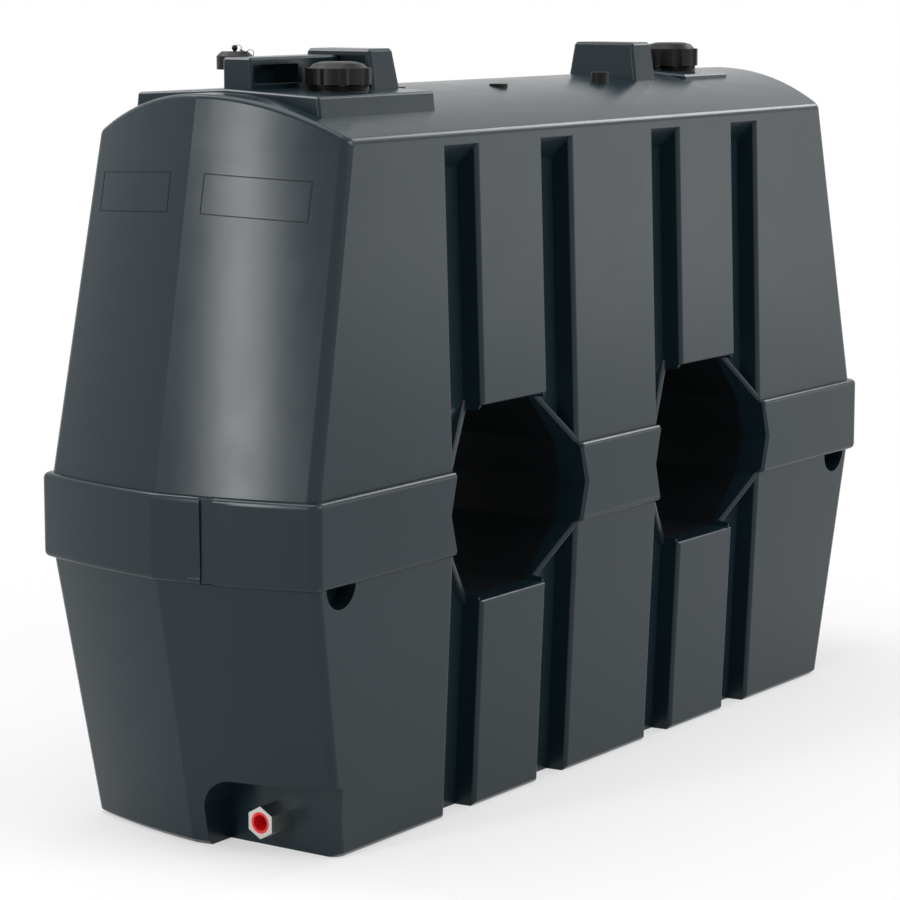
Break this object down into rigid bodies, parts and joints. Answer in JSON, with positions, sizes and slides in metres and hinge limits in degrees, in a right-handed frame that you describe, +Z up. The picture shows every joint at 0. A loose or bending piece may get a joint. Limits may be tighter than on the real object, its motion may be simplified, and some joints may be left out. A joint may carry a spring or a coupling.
{
  "type": "slimline water tank",
  "caption": "Narrow moulded plastic storage tank with a belt, ribbed long sides, windows through the body, a vaulted roof with screw fillers and a low threaded outlet",
  "frame": {"origin": "middle of the flat base, on the ground", "axes": "+X along the tank away from the outlet end, +Y from the front face to the back, +Z up"},
  "size_m": [2.138, 0.63, 1.417],
  "materials": {
    "tank_plastic": "moulded charcoal polyethylene with a soft sheen",
    "cap_plastic": "matte black injection moulded plastic",
    "fitting_steel": "machined steel hexagon",
    "plug_plastic": "bright red transit plug"
  },
  "bodies": {
    "root": {"back_lower_channels": "tank_plastic", "back_lower_corner_panels": "tank_plastic", "back_lower_panels": "tank_plastic", "back_upper_channels": "tank_plastic", "back_upper_corner_panels": "tank_plastic", "back_upper_panels": "tank_plastic", "base_floor": "tank_plastic", "belt_back_middle": "tank_plastic", "belt_front_middle": "tank_plastic", "belt_left": "tank_plastic", "belt_right": "tank_plastic", "front_lower_channels": "tank_plastic", "front_lower_corner_panels": "tank_plastic", "front_lower_panels": "tank_plastic", "front_upper_channels": "tank_plastic", "front_upper_corner_panels": "tank_plastic", "front_upper_panels": "tank_plastic", "left_end_lower": "tank_plastic", "left_end_upper": "tank_plastic", "left_filler_cap": "cap_plastic", "left_filler_neck": "cap_plastic", "left_guard_box": "tank_plastic", "left_roof_pad": "tank_plastic", "left_turret": "tank_plastic", "left_window_haunches": "tank_plastic", "left_window_head": "tank_plastic", "left_window_jambs": "tank_plastic", "left_window_sill": "tank_plastic", "outlet_plug": "plug_plastic", "outlet_socket": "fitting_steel", "right_end_lower": "tank_plastic", "right_end_upper": "tank_plastic", "right_filler_cap": "cap_plastic", "right_filler_neck": "cap_plastic", "right_roof_pad": "tank_plastic", "right_turret": "tank_plastic", "right_window_haunches": "tank_plastic", "right_window_head": "tank_plastic", "right_window_jambs": "tank_plastic", "right_window_sill": "tank_plastic", "roof": "tank_plastic", "roof_plugs": "cap_plastic", "vent_body": "cap_plastic", "vent_cap": "cap_plastic"}
  },
  "joints": []
}
